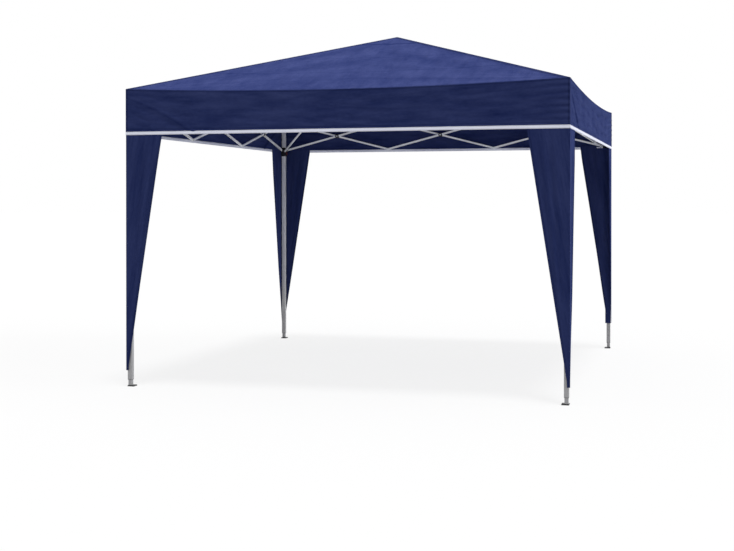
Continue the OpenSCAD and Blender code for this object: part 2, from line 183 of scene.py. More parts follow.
def thicken(piece, thickness):
    """Gives a sheet its thickness, inwards from the face that was made."""
    wall = piece.modifiers.new("thickness", "SOLIDIFY")
    wall.thickness = thickness
    wall.offset = -1.0


def smooth_step(low, high, x):
    """0 below low, 1 above high, and a soft S between them."""
    t = np.clip((x - low) / (high - low), 0, 1)
    return t * t * (3 - 2 * t)


# %% [markdown]
# ## Finishes
#
# Each finish is a small tree of nodes on one shader. Cloth reads the UV map, because its weave and stitching
# follow the sheet, and the rest reads Object coordinates. A value that is the same all over is set on the
# shader's own socket.

# %% Finish helpers
class Finish:
    """A material with its node tree at hand, and short ways to add nodes to it."""

    def __init__(self, name, colour, roughness, metallic=0.0):
        self.material = bpy.data.materials.new(name)
        self.material.use_nodes = True
        self.material.diffuse_color = (*colour, 1)
        self.tree = self.material.node_tree
        self.shader = self.tree.nodes["Principled BSDF"]
        self.shader.inputs["Base Color"].default_value = (*colour, 1)
        self.shader.inputs["Roughness"].default_value = roughness
        self.shader.inputs["Metallic"].default_value = metallic
        self.coords = self.add("ShaderNodeTexCoord")

    def add(self, kind, **settings):
        """A new node with these settings."""
        node = self.tree.nodes.new(kind)
        for key, value in settings.items():
            setattr(node, key, value)
        return node

    def link(self, out, into):
        """A link from a node's output to another node's input."""
        self.tree.links.new(out, into)

    def math(self, operation, *values):
        """A Math node whose inputs are numbers or other nodes' outputs."""
        node = self.add("ShaderNodeMath", operation=operation)
        for socket, value in zip(node.inputs, values):
            if isinstance(value, (int, float)):
                socket.default_value = value
            else:
                self.link(value, socket)
        return node.outputs[0]

    def noise(self, place, scale, detail, roughness=0.55, stretch=(1, 1, 1), turn=0.0, shift=0.0):
        """Noise on a place, with the pattern turned about Z, stretched along the axes and shifted."""
        mapping = self.add("ShaderNodeMapping")
        mapping.inputs["Location"].default_value = (shift, 1.7 * shift, 0)
        mapping.inputs["Scale"].default_value = stretch
        mapping.inputs["Rotation"].default_value = (0, 0, math.radians(turn))
        self.link(place, mapping.inputs["Vector"])
        node = self.add("ShaderNodeTexNoise")
        node.inputs["Scale"].default_value = scale
        node.inputs["Detail"].default_value = detail
        node.inputs["Roughness"].default_value = roughness
        self.link(mapping.outputs[0], node.inputs["Vector"])
        return node.outputs[0]

    def spread(self, value, low, high):
        """The value, moved from 0..1 to low..high."""
        node = self.add("ShaderNodeMapRange")
        node.inputs["To Min"].default_value = low
        node.inputs["To Max"].default_value = high
        self.link(value, node.inputs["Value"])
        return node.outputs[0]

    def mix(self, factor, first, second):
        """A colour between two colours, each a tuple or another node's output."""
        node = self.add("ShaderNodeMix", data_type="RGBA")
        self.link(factor, node.inputs["Factor"])
        for socket, value in ((node.inputs[6], first), (node.inputs[7], second)):
            if isinstance(value, tuple):
                socket.default_value = (*value, 1)
            else:
                self.link(value, socket)
        return node.outputs[2]

    def bump(self, heights):
        """Bumps one on another: each is a height output and its depth in metres."""
        last = None
        for height, depth in heights:
            node = self.add("ShaderNodeBump")
            node.inputs["Strength"].default_value = 1.0
            node.inputs["Distance"].default_value = depth
            self.link(height, node.inputs["Height"])
            if last is not None:
                self.link(last, node.inputs["Normal"])
            last = node.outputs[0]
        self.link(last, self.shader.inputs["Normal"])

    def colour(self, output):
        """The colour comes from this output."""
        self.link(output, self.shader.inputs["Base Color"])

    def roughness(self, output):
        """The roughness comes from this output."""
        self.link(output, self.shader.inputs["Roughness"])


def shade(colour, share):
    """A colour made lighter or darker by a share, or by one share for each channel."""
    shares = share if isinstance(share, tuple) else (share,) * 3
    return tuple(min(1.0, channel * part) for channel, part in zip(colour, shares))


# %% [markdown]
# The cloth is coated polyester: a fine even weave with little shine, a cloudy tone, wrinkles that run along
# the pull, and straight creases from lying folded up. The wrinkles, creases and seam grooves carry a tone
# that follows their height: painted shade in the hollows and painted light on the ridges, mixed with the
# cloth's own cloudy tone. On the blue cloth the lightest tone is whitened as a painted sheen. The blue
# cloth's shader also has a faint sheen, so a side that is almost edge on looks lighter. Every sheet's UV map
# is in metres, so a seam is a line at a set distance from an edge: a row of stitches in a shallow groove, and
# a hem or a binding is a band in which the doubled cloth looks darker.

# %% Cloth finish
# The roof and the valance are one cloth: the roof's blue is painted about twice as light as the valance's, as
# painted light from above.
ROOF_BLUE_PAINTED_LIT = (0.0410, 0.0565, 0.184)
VALANCE_BLUE = (0.0192, 0.0280, 0.0950)
TRIM_WHITE = (0.74, 0.76, 0.89)
CLOTH_ROUGH, CLOTH_SHINE = 0.85, 0.008
THREAD_ROUGH = (0.78, 0.92)
SHEEN, SHEEN_ROUGH = 0.13, 0.5
SHEEN_BLUE = (0.20, 0.27, 0.80)
THREAD = 0.0016
THREAD_DEPTH = 0.00012
STITCH = 0.006
STITCH_HALF_W = 0.0014
STITCH_TONE = 0.55
STITCH_GAP = -0.4
GROOVE_W, GROOVE_DEPTH = 0.008, 0.0012
WRINKLE_DETAIL, WRINKLE_ROUGH = 2.0, 0.5
# The darkest and lightest tones of the wrinkles are painted shade and painted light; on the blue cloth the
# light end is whitened as a painted sheen.
BLUE_SHADE_AND_SHEEN = (0.42, 0.52, 0.70), (1.58, 1.48, 1.30)
WHITE_SHADE_AND_LIGHT = (0.86, 0.86, 0.87), (1.14, 1.14, 1.08)


class Cloth(Finish):
    """Woven cloth: U and V are metres on the flat sheet, and shift gives each sheet its own wrinkles."""

    def __init__(self, name, colour, shift=0.0, tones=BLUE_SHADE_AND_SHEEN):
        super().__init__(name, colour, CLOTH_ROUGH)
        self.shader.inputs["Specular IOR Level"].default_value = CLOTH_SHINE
        if tones is BLUE_SHADE_AND_SHEEN:
            self.shader.inputs["Sheen Weight"].default_value = SHEEN
            self.shader.inputs["Sheen Roughness"].default_value = SHEEN_ROUGH
            self.shader.inputs["Sheen Tint"].default_value = (*SHEEN_BLUE, 1.0)
        self.uv = self.coords.outputs["UV"]
        split = self.add("ShaderNodeSeparateXYZ")
        self.link(self.uv, split.inputs[0])
        self.u, self.v = split.outputs[0], split.outputs[1]
        self.base = colour
        self.darkest, self.lightest = (shade(colour, share) for share in tones)
        self.shift = shift
        self.tones = []
        self.heights = []
        self.lines = []
        self.bands = []

    def weave(self):
        """Threads over and under each other, as a product of two sine waves."""
        turn = 2 * math.pi / THREAD
        across, along = (self.math("SINE", self.math("MULTIPLY", way, turn)) for way in (self.u, self.v))
        self.heights.append((self.math("MULTIPLY", across, along), THREAD_DEPTH))

    def wrinkles(self, scale, stretch, depth, tone, turn=0.0, place=None):
        """Noise drawn out along the cloth: a height in metres, and the same noise as a share of tone either
        way, which is painted shade and light on the wrinkles mixed with the cloth's mottling.
        """
        place = place or self.uv
        pattern = self.noise(place, scale, WRINKLE_DETAIL, WRINKLE_ROUGH, stretch, turn, self.shift)
        self.heights.append((pattern, depth))
        self.tones.append((self.math("SUBTRACT", pattern, 0.5), tone))

    def crease(self, distance, width, depth, tone):
        """A straight soft ridge where the distance is nought, whose tone is painted light on a ridge that
        stands up and painted shade in one that sinks.
        """
        ridge = self.math("SUBTRACT", 1.0, self.math("DIVIDE", self.math("ABSOLUTE", distance), width))
        ridge = self.math("POWER", self.math("MAXIMUM", ridge, 0.0), 2.0)
        self.heights.append((ridge, depth))
        self.tones.append((ridge, tone))

    def creases_every(self, way, step, start, width, depth, tone):
        """The same ridge at even steps along U or V."""
        shifted = self.math("SUBTRACT", way, start - step / 2)
        place = self.math("SUBTRACT", self.math("FLOORED_MODULO", shifted, step), step / 2)
        self.crease(place, width, depth, tone)

    def seam(self, distance, along, groove=GROOVE_W, tone=-0.3):
        """A row of stitches in a groove where the distance is nought; the groove's darker tone is painted
        shade.
        """
        self.crease(distance, groove, -GROOVE_DEPTH, tone)
        near = self.math("LESS_THAN", self.math("ABSOLUTE", distance), STITCH_HALF_W)
        wave = self.math("SINE", self.math("MULTIPLY", along, 2 * math.pi / STITCH))
        self.lines.append(self.math("MULTIPLY", near, self.math("GREATER_THAN", wave, STITCH_GAP)))

    def band(self, distance, width, share):
        """Doubled cloth, darkened to a share of its tone, within a width of an edge."""
        self.bands.append((self.math("LESS_THAN", distance, width), share))

    def finish(self):
        """Sums the tones round the middle, draws bands and stitches over them, and stacks the heights."""
        total = 0.5
        for pattern, weight in self.tones:
            total = self.math("ADD", total, self.math("MULTIPLY", pattern, weight))
        tone = self.mix(total, self.darkest, self.lightest)
        for inside, share in self.bands:
            tone = self.mix(self.math("MULTIPLY", inside, 1 - share), tone, (0.0, 0.0, 0.0))
        for line in self.lines:
            tone = self.mix(line, tone, shade(self.base, STITCH_TONE))
        self.colour(tone)
        self.roughness(self.spread(self.heights[0][0], *THREAD_ROUGH))
        self.bump(self.heights)
        return self.material


# %% [markdown]
# ## The roof
#
# The roof rises from a straight-hipped square to a peak, and each of its four panels hangs a little between
# the hips. A point of a panel has two parameters: across, from hip to hip, and out, from the peak to the
# eave. The panel is cut into gores that run from the peak to the eave. At rest they meet edge to edge, and
# each rides on the peak hub.

# %% Roof finish
HEM = 0.012
PEAK_PATCH = 0.270
HIP_BINDING = 0.046
PACKING_CREASES = (0.43, 0.856)
roof_height = peak_z - eave_z
roof_slope = math.hypot(canopy_r, roof_height)


def corner_fan(cloth):
    """A place in turns about the nearer corner and metres from it, for folds that fan out of the corner."""
    beside = cloth.math("SUBTRACT", canopy_r, cloth.math("ABSOLUTE", cloth.u))
    turn = cloth.math("ARCTAN2", cloth.v, beside)
    squares = [cloth.math("POWER", way, 2.0) for way in (beside, cloth.v)]
    away = cloth.math("SQRT", cloth.math("ADD", *squares))
    fan = cloth.add("ShaderNodeCombineXYZ")
    for value, socket in zip((turn, away, cloth.math("SIGN", cloth.u)), fan.inputs):
        cloth.link(value, socket)
    return fan.outputs[0]


def roof_finish(side):
    """Blue cloth, painted lighter than the valance's as light from above, with bound hips, a sewn patch round
    the peak, and creases from its folding whose tone is painted shade and light.
    """
    cloth = Cloth(f"roof_cloth_{SIDES[side]}", ROOF_BLUE_PAINTED_LIT, shift=3.1 * side)
    # The wrinkles' tone is the cloth's mottling and painted shade and light on the wrinkles and on the folds
    # that fan out of the corners.
    cloth.wrinkles(6.0, (1, 0.45, 1), depth=0.0070, tone=0.90, turn=18)
    cloth.wrinkles(17.0, (1, 0.35, 1), depth=0.0024, tone=0.65, turn=-12)
    cloth.wrinkles(9.0, (1, 0.06, 1), depth=0.0060, tone=0.85, place=corner_fan(cloth))
    cloth.wrinkles(45.0, (1, 0.7, 1), depth=0.0008, tone=0.45)
    out = cloth.math("SUBTRACT", canopy_r, cloth.math("MULTIPLY", cloth.v, canopy_r / roof_slope))
    hip = cloth.math("SUBTRACT", out, cloth.math("ABSOLUTE", cloth.u))
    # Painted light along the raised creases, and painted shade in the sunk packing creases and the seams'
    # grooves.
    cloth.creases_every(cloth.u, step=0.50, start=0.25, width=0.012, depth=0.0016, tone=0.10)
    for height in PACKING_CREASES:
        fold = cloth.math("SUBTRACT", cloth.v, height)
        cloth.crease(fold, width=0.026, depth=-0.0016, tone=-0.20)
    cloth.seam(cloth.math("SUBTRACT", hip, HIP_BINDING), cloth.v)
    patch = cloth.math("SUBTRACT", cloth.v, roof_slope - PEAK_PATCH)
    cloth.seam(patch, cloth.u, groove=0.036, tone=-0.90)
    cloth.seam(cloth.math("SUBTRACT", cloth.v, HEM), cloth.u)
    cloth.band(hip, HIP_BINDING, share=0.60)
    cloth.weave()
    return cloth.finish()


print("roof slope:", round(roof_slope, 3))

# %% Roof shape
PANEL_WAVE = 0.0022


def roof_surface(across, out):
    """Side 0's panel: z falls evenly from peak to eave, less a sag that is greatest halfway between hips."""
    sag = EAVE_SAG * (1 - across**2) * out**1.5
    slack = (1 - across**2) * out * (1 - out) * 4
    wave = PANEL_WAVE * slack * (np.sin(9.5 * across + 2.0 * out) + 0.6 * np.sin(17 * across - 5 * out + 1.1))
    z = peak_z - roof_height * out - sag - wave
    return np.stack([canopy_r * across * out, -canopy_r * out, z], axis=-1)


print("middle of the front eave:", roof_surface(0.0, 1.0).round(3))

# %% Roof pieces
GORES = 16
GORE_COLS, ROOF_ROWS = 7, 73

roof_pieces = []
for side, side_name in enumerate(SIDES):
    roof_cloth = roof_finish(side)
    for gore in range(GORES):
        low, high = 2 * gore / GORES - 1, 2 * (gore + 1) / GORES - 1
        across, out = np.meshgrid(np.linspace(low, high, GORE_COLS), np.linspace(0, 1, ROOF_ROWS))
        points = turned(roof_surface(across, out), side)
        uv = np.stack([canopy_r * across * out, roof_slope * (1 - out)], axis=-1)
        piece = piece_from(f"roof_{side_name}_gore_{gore + 1}", points, grid_faces(ROOF_ROWS, GORE_COLS), uv,
                           weld=WELD)
        piece.data.materials.append(roof_cloth)
        thicken(piece, CLOTH_T)
        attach(piece, "peak_hub")
        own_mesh(piece)
        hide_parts("canopy_roof")
        roof_pieces.append(piece)
print("roof gores:", len(roof_pieces))

# %% [markdown]
# ## The valance and its trim
#
# The valance hangs from the eave all round, and a pale tape binds its lower edge. It is sewn flat, so it only
# shows shallow ripples, with slanting pulls near the corners where the legs stretch it. Each side is made in
# two halves, and each half rides on its own leg.

# %% Valance finish
TRIM_H = 0.022
EAVE_SEAM, TRIM_SEAM = 0.010, 0.004
TAPE_SEAMS = (0.003, 0.019)
SWEEP_START, SWEEP_SLOPE, SWEEP_BEND = 0.065, 0.28, 0.48
PUCKER_STEP = 0.044
PUCKER_REACH = 0.16
PUCKER_SHADE_AND_LIGHT = -0.22
PUCKER_BEND, PUCKER_TURN, PUCKER_SHIFT = 0.25, 9.0, 1.0
valance_drop = eave_z - trim_z


def valance_finish(side):
    """Dark cloth with long soft wrinkles, which lie almost level, and a hem under the eave; the wrinkles, the
    sweeping fold and the corner's puckers carry painted shade and light.
    """
    cloth = Cloth(f"valance_cloth_{SIDES[side]}", VALANCE_BLUE, shift=5.3 * side)
    cloth.wrinkles(15.0, (0.16, 1, 1), depth=0.0100, tone=1.3, turn=4.0)
    cloth.wrinkles(34.0, (0.22, 1, 1), depth=0.0030, tone=0.7, turn=-6.0)
    cloth.wrinkles(4.0, (0.7, 1, 1), depth=0.0040, tone=0.9)
    cloth.wrinkles(70.0, (0.5, 1, 1), depth=0.0006, tone=0.4)
    left = cloth.math("ADD", cloth.u, canopy_r)
    slope = cloth.math("ADD", SWEEP_SLOPE, cloth.math("MULTIPLY", left, SWEEP_BEND))
    fall = cloth.math("MULTIPLY", left, slope)
    sweep = cloth.math("SUBTRACT", cloth.math("SUBTRACT", cloth.v, SWEEP_START), fall)
    # Painted shade along the sweeping fold's groove.
    cloth.crease(sweep, width=0.024, depth=-0.0010, tone=-0.32)
    right = cloth.math("SUBTRACT", canopy_r, cloth.u)
    bend = cloth.math("SINE", cloth.math("ADD", cloth.math("MULTIPLY", right, PUCKER_TURN), PUCKER_SHIFT))
    rows = cloth.math("DIVIDE", cloth.v, PUCKER_STEP)
    turns = cloth.math("ADD", rows, cloth.math("MULTIPLY", bend, PUCKER_BEND))
    pucker = cloth.math("SINE", cloth.math("MULTIPLY", turns, 2 * math.pi))
    fade = cloth.math("EXPONENT", cloth.math("DIVIDE", right, -PUCKER_REACH))
    # Painted shade and light that follow the puckers.
    cloth.tones.append((cloth.math("MULTIPLY", pucker, fade), PUCKER_SHADE_AND_LIGHT))
    corner = cloth.math("SUBTRACT", canopy_r, cloth.math("ABSOLUTE", cloth.u))
    for height in (EAVE_SEAM, valance_drop - TRIM_H - TRIM_SEAM):
        cloth.seam(cloth.math("SUBTRACT", cloth.v, height), cloth.u)
    cloth.seam(cloth.math("SUBTRACT", corner, HEM), cloth.v)
    cloth.band(corner, HEM, share=0.85)
    cloth.weave()
    return cloth.finish()


def tape_finish():
    """Pale bias tape with a stitched line along each edge."""
    cloth = Cloth("trim_tape", TRIM_WHITE, tones=WHITE_SHADE_AND_LIGHT)
    cloth.wrinkles(30.0, (0.3, 1, 1), depth=0.0006, tone=0.55)
    for height in TAPE_SEAMS:
        cloth.seam(cloth.math("SUBTRACT", cloth.v, height), cloth.u)
    cloth.weave()
    return cloth.finish()


print("valance drop:", round(valance_drop, 3))

# %% Valance shape
TRIM_T = 0.0026
TAPE_LAP = 0.6
RIPPLES = 9
RIPPLE = 0.004
CALM_END = (0.05, 0.35)
PULL = 0.0040
PULL_SLOPE = 0.45
PULL_STEP = 0.062
PULL_RISE, PULL_FADE = (0.0, 0.10), (0.45, 0.12)
SWEEP = 0.0050
SWEEP_W = 0.016
SWEEP_RISE, SWEEP_FADE = (0.02, 0.16), (0.75, 0.45)
PUCKER = 0.0046
PUCKER_RISE = (0.0, 0.02)
LONG_FOLD = 0.0020
LONG_FOLD_STEP = 0.085
MOST_IN, MOST_OUT = 0.0062, 0.0050


def left_end_folds(along, down):
    """Slanting pulls at a side's left end, and one long fold that sweeps down from the upper corner."""
    near = smooth_step(*PULL_RISE, along) * smooth_step(*PULL_FADE, along)
    pulls = (0.5 - 0.5 * np.cos(2 * np.pi * (down - PULL_SLOPE * along) / PULL_STEP)) ** 2
    reach = smooth_step(*SWEEP_RISE, along) * smooth_step(*SWEEP_FADE, along)
    below = (down - SWEEP_START - SWEEP_SLOPE * along - SWEEP_BEND * along**2) / SWEEP_W
    sweep = below * np.exp((1 - below**2) / 2)
    return PULL * near * pulls + SWEEP * reach * sweep


def right_end_folds(along, down):
    """Level puckers at a side's right end, gathered by the corner's seam, that fade along the side."""
    bend = PUCKER_BEND * np.sin(PUCKER_TURN * along + PUCKER_SHIFT)
    near = smooth_step(*PUCKER_RISE, along) * np.exp(-along / PUCKER_REACH)
    return PUCKER * near * np.sin(2 * np.pi * (down / PUCKER_STEP + bend))


def valance_ripple(x, v):
    """How far the cloth stands in from its flat place: ripples, long level folds and the ends' folds."""
    along = canopy_r - np.abs(x)
    down = v * valance_drop
    level = np.sin(np.pi * v) ** 0.5
    calm = smooth_step(*CALM_END, along)
    hanging = RIPPLE * calm * np.sin(np.pi * v) * (1 - np.cos(np.pi * RIPPLES * x / canopy_r)) / 2
    bend = 0.45 * np.sin(4.1 * x + 0.7) + 0.3 * np.sin(9.7 * x + 2.0)
    swell = 0.5 + 0.5 * np.sin(2.9 * x + 1.1) * np.sin(6.3 * x)
    folds = LONG_FOLD * calm * swell * np.sin(2 * np.pi * (down / LONG_FOLD_STEP + bend))
    ends = np.where(x < 0, left_end_folds(along, down), right_end_folds(along, down))
    return np.clip(hanging + level * (folds + ends), -MOST_OUT, MOST_IN)


def valance_surface(x, v):
    """Side 0's valance: x along the side, v from the eave (0) down to the tape (1)."""
    top = eave_z - EAVE_SAG * (1 - (x / canopy_r) ** 2) - CLOTH_T
    z = top + (trim_z + TRIM_H * TAPE_LAP - top) * v
    return np.stack([x, -canopy_r + valance_ripple(x, v), z], axis=-1)


def trim_profile(count=14):
    """A flat tape with round edges, as a closed loop of (out, up) places: a stretched circle, squared off."""
    a = np.linspace(0, 2 * np.pi, count, endpoint=False) + np.pi / count
    c, s = np.cos(a), np.sin(a)
    out = TRIM_T / 2 * np.sign(c) * np.abs(c) ** 0.5
    up = TRIM_H / 2 * np.sign(s) * np.abs(s) ** 0.5
    return out, up


print("middle of the front tape:", valance_surface(0.0, 1.0).round(3))

# %% Valance pieces
VALANCE_COLS, VALANCE_ROWS = 181, 59
TAPE_ROWS = 61

trim_tape = tape_finish()
valance_pieces = []
for side, side_name in enumerate(SIDES):
    valance_cloth = valance_finish(side)
    for half, sign in (("start", -1), ("end", 1)):
        leg = CORNERS[side if sign < 0 else (side + 1) % 4]
        ends = np.array([-canopy_r, 0.0]) if sign < 0 else np.array([0.0, canopy_r])
        axis = tuple(turned(np.array([1.0, 0.0, 0.0]), side))
        spacing = np.linspace(0, 1, VALANCE_COLS) ** 1.5
        places = np.sort(sign * canopy_r * (1 - spacing))
        x, v = np.meshgrid(places, np.linspace(0, 1, VALANCE_ROWS))
        points = turned(valance_surface(x, v), side)
        uv = np.stack([x, v * valance_drop], axis=-1)
        cloth = piece_from(f"valance_{side_name}_{half}", points, grid_faces(VALANCE_ROWS, VALANCE_COLS), uv)
        cloth.data.materials.append(valance_cloth)
        thicken(cloth, CLOTH_T)

        out, up = trim_profile()
        along = np.linspace(*ends, TAPE_ROWS)[:, None]
        face, height = -canopy_r + CLOTH_T / 2 - out[None, :], trim_z + TRIM_H / 2 + up[None, :]
        tape_points = turned(np.stack(np.broadcast_arrays(along, face, height), axis=-1), side)
        tape_uv = np.stack(np.broadcast_arrays(along, up[None, :] + TRIM_H / 2), axis=-1)
        tape_faces = grid_faces(TAPE_ROWS, len(out), wrap=True)
        tape = piece_from(f"trim_{side_name}_{half}", tape_points, tape_faces, tape_uv)
        tape.data.materials.append(trim_tape)
        for piece in (cloth, tape):
            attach(piece, leg + "_leg")
            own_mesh(piece)
            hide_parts("canopy_valance")
        valance_pieces += [cloth, tape]
print("valance pieces:", len(valance_pieces))

# %% [markdown]
# ## The leg curtains
#
# At each leg hangs a curtain of two wings that meet on the corner's edge. A wing is widest under the valance
# and tapers almost to nothing near the foot. Soft folds run down it and close up towards the tip, because
# the same cloth gets narrower. Its folds fade where the frame is close behind. At the back right leg the
# curtain ends higher, and the wing along the back is drawn in front of the leg and its slider, so that cloth
# hides this leg from the front.

# %% Curtain finish
def curtain_finish(corner):
    """The valance's cloth with streaks that hang down it, and a hem along the free edge; the streaks' tone is
    painted shade and light mixed with the cloth's mottling.
    """
    cloth = Cloth(f"curtain_cloth_{CORNERS[corner]}", VALANCE_BLUE, shift=2.7 * corner)
    cloth.wrinkles(24.0, (0.07, 1, 1), depth=0.0060, tone=0.95, turn=1.5)
    cloth.wrinkles(52.0, (0.10, 1, 1), depth=0.0020, tone=0.55, turn=-2.0)
    cloth.wrinkles(5.0, (0.35, 1, 1), depth=0.0040, tone=0.7)
    cloth.wrinkles(80.0, (0.4, 1, 1), depth=0.0006, tone=0.4)
    cloth.seam(cloth.math("SUBTRACT", cloth.v, HEM), cloth.u)
    cloth.band(cloth.v, HEM, share=0.88)
    cloth.weave()
    return cloth.finish()


# %% Curtain shape
CURTAIN_TOP_W = 0.266
CURTAIN_END_W = 0.013
CURTAIN_TIP_W = 0.018
CURTAIN_FOLD = 0.009
FOLD_OUT = 0.0038
CURTAIN_FOLDS = 3
STREAKS, STREAK = 7.5, 0.12
LEG_CALM, LEG_FREE = 0.045, 0.105
TRIM_CALM, TRIM_FREE = 0.012, 0.2
TUCK_TOP, TUCK_SHOULDER, TUCK_NECK = 1.711, 1.665, 1.600
TUCK_START, TUCK_FLAT, TUCK_END = 0.0015, 0.054, 0.130
TUCK_W = 0.048
TUCK_SWAY, SWAY_FROM, SWAY_TO = 0.003, 0.08, 0.16
LIFT_FROM, LIFT_TO = 0.118, 0.140
LEG_CLEAR, SLIDER_CLEAR = 0.0455, 0.0600
curtain_r = curtain_high.x


def wing_width(z):
    """Width of a wing: a narrow tip, then it grows evenly up to the trim, and stays as wide above it."""
    share = np.minimum(1, (z - curtain_low.z) / (trim_z - curtain_low.z))
    return np.maximum(CURTAIN_TIP_W, CURTAIN_END_W + (CURTAIN_TOP_W - CURTAIN_END_W) * share)


def wing_surface(s, z):
    """A wing along +X from corner 0: s from the corner's edge (0) to the free edge (1)."""
    along = s * wing_width(z)
    free = smooth_step(LEG_CALM, LEG_FREE, along) * smooth_step(0.0, TRIM_FREE, trim_z - TRIM_CALM - z)
    waves = np.sin(np.pi * CURTAIN_FOLDS * s) ** 2 * (0.8 + 0.2 * np.sin(5 * z + 1))
    streaks = STREAK * np.sin(2 * np.pi * STREAKS * s + 1.3 * z) ** 2
    fold = free * (CURTAIN_FOLD * (waves + streaks) - FOLD_OUT)
    return np.stack([along - curtain_r, fold - curtain_r, z], axis=-1)


def tucked_surface(s, z):
    """A wing from the other wing's inside, past the front of the leg and back to its own side."""
    along = TUCK_START + s * (np.maximum(wing_width(z), TUCK_W) - TUCK_START)
    inward = LEG_CLEAR + (SLIDER_CLEAR - LEG_CLEAR) * smooth_step(TUCK_NECK, TUCK_SHOULDER, z)
    across = inward * (1 - smooth_step(TUCK_FLAT, TUCK_END, along))
    sway = TUCK_SWAY * smooth_step(SWAY_FROM, SWAY_TO, along) * (1 + np.sin(40 * along + 3 * z))
    lift = smooth_step(LIFT_FROM, LIFT_TO, along) * smooth_step(TUCK_NECK, TUCK_TOP, z)
    rise = (curtain_high.z - TUCK_TOP) * lift
    return np.stack([along - curtain_r, across + sway - curtain_r, z + rise], axis=-1)


print("wing's width halfway up:", wing_width((curtain_low.z + trim_z) / 2).round(3))

# %% Curtain pieces
CURTAIN_COLS, CURTAIN_ROWS = 49, 121
TUCKED_CORNER, TUCKED_WING = "back_right", "ahead"
TUCK_LOW = 0.215

curtain_pieces = []
for quarter, corner_name in enumerate(CORNERS):
    curtain_cloth = curtain_finish(quarter)
    tip = TUCK_LOW if corner_name == TUCKED_CORNER else curtain_low.z
    for wing in ("ahead", "behind"):
        tucked = (corner_name, wing) == (TUCKED_CORNER, TUCKED_WING)
        top = TUCK_TOP if tucked else curtain_high.z
        s, z = np.meshgrid(np.linspace(0, 1, CURTAIN_COLS), np.linspace(top, tip, CURTAIN_ROWS))
        points = tucked_surface(s, z) if tucked else wing_surface(s, z)
        axis = np.array([0.0, 1.0, 0.0] if tucked else [1.0, 0.0, 0.0])
        if wing == "behind":
            points, axis = points[..., [1, 0, 2]], axis[[1, 0, 2]]
        faces = grid_faces(CURTAIN_ROWS, CURTAIN_COLS, flip=wing == "behind")
        uv = np.stack([z, (1 - s) * wing_width(z)], axis=-1)
        piece = piece_from(f"curtain_{corner_name}_{wing}", turned(points, quarter), faces, uv)
        piece.data.materials.append(curtain_cloth)
        thicken(piece, CLOTH_T)
        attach(piece, corner_name + "_leg")
        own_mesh(piece)
        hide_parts("leg_curtains")
        curtain_pieces.append(piece)
print("curtain wings:", len(curtain_pieces))

# %% [markdown]
# ## Caps and spacers on the truss
#
# Where two bars of a truss cross, a wide black spacer keeps them apart, and a black cap as wide covers the
# crossing on either side. The rivet's bare head stands through the inner cap. All are turned shapes: a
# profile of radius and height carried round the rivet's axis.

# %% Cap and spacer shapes
LAYER_GAP = 0.003
BAR_WALL = 0.0008
SPACER_LAP, SPACER_CLEAR, SPACER_EASE = 0.0002, 0.00012, 0.0005
CAP_BACK, CAP_RIM = 0.6, 0.35
TURNS = 32


def turned_shape(radius, height, centre):
    """A profile of (radius, height) points carried round +Y through the centre."""
    a = np.linspace(0, 2 * np.pi, TURNS, endpoint=False)[None, :]
    r, h = np.asarray(radius)[:, None], np.asarray(height)[:, None]
    x, y, z = centre
    return np.stack(np.broadcast_arrays(x + r * np.sin(a), y + h, z + r * np.cos(a)), axis=-1)


def cap_profile(radius, thickness):
    """A low dome with a straight rim, from its flat back to the middle of its front."""
    turn = np.linspace(0, 1, 7) * np.pi / 2
    dome = CAP_RIM + (1 - CAP_RIM) * np.sin(turn)
    r = np.concatenate([[radius * CAP_BACK, radius], radius * np.cos(turn) ** 0.6, [0.0]])
    h = np.concatenate([[0.0, 0.0], thickness * dome, [thickness]])
    return r, h


def disc_profile(radius):
    """A flat disc with eased edges that fills the gap between the layers and laps the outer bar's wall."""
    back, front = -LAYER_GAP / 2 - BAR_WALL - SPACER_LAP, LAYER_GAP / 2 - SPACER_CLEAR
    r = np.array([0.0, radius - SPACER_EASE, radius, radius, radius - SPACER_EASE, 0.0])
    h = np.array([back, back, back + SPACER_EASE, front - SPACER_EASE, front, front])
    return r, h


print("points round a cap:", TURNS)

# %% Caps and spacers on the bars
BAR_T = 0.012
CAP_CLEAR = 0.0003
INNER_FACE = LAYER_GAP / 2 + BAR_T + CAP_CLEAR
OUTER_FACE = -LAYER_GAP / 2 - BAR_T
INNER_CAP_T, OUTER_CAP_T = 0.0016, 0.0022
SPACER_R, CAP_R = 0.0178, 0.0170

inner_r, inner_h = cap_profile(CAP_R, INNER_CAP_T)
outer_r, outer_h = cap_profile(CAP_R, OUTER_CAP_T)
shapes = [(inner_r, INNER_FACE + inner_h), (outer_r, OUTER_FACE - outer_h), disc_profile(SPACER_R)]
black_pieces = []
for side, side_name in enumerate(SIDES):
    for bar in range(CELLS):
        centre = (first_top.x + cell_w * (bar + 0.5), -leg_r, first_top.z - cell_h / 2)
        points, faces, count = [], [], 0
        for radius, height in shapes:
            rings = turned(turned_shape(radius, height, centre), side).reshape(-1, 3)
            points.append(rings)
            faces.append(grid_faces(len(radius), TURNS, wrap=True) + count)
            count += len(rings)
        piece = piece_from(f"caps_{side_name}_bar_{bar + 1}", np.concatenate(points), np.concatenate(faces),
                           weld=WELD)
        work = bmesh.new()
        work.from_mesh(piece.data)
        bmesh.ops.recalc_face_normals(work, faces=work.faces)
        work.to_mesh(piece.data)
        work.free()
        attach(piece, f"{side_name}_rising_bar_{bar + 1}")
        black_pieces.append(piece)
print("caps and spacers on", len(black_pieces), "bars")

# %% [markdown]
# ## Finishes of the frame
#
# The tubes are steel with a pale powder coat, which has a faint orange-peel skin. The legs' coat is painted
# darker towards the ground: painted shade. The sliders, the hub and the caps are moulded black plastic, and
# the release buttons are dark red. A leg's node holds its plastic ends too, so its finish changes from paint
# to plastic at their height.

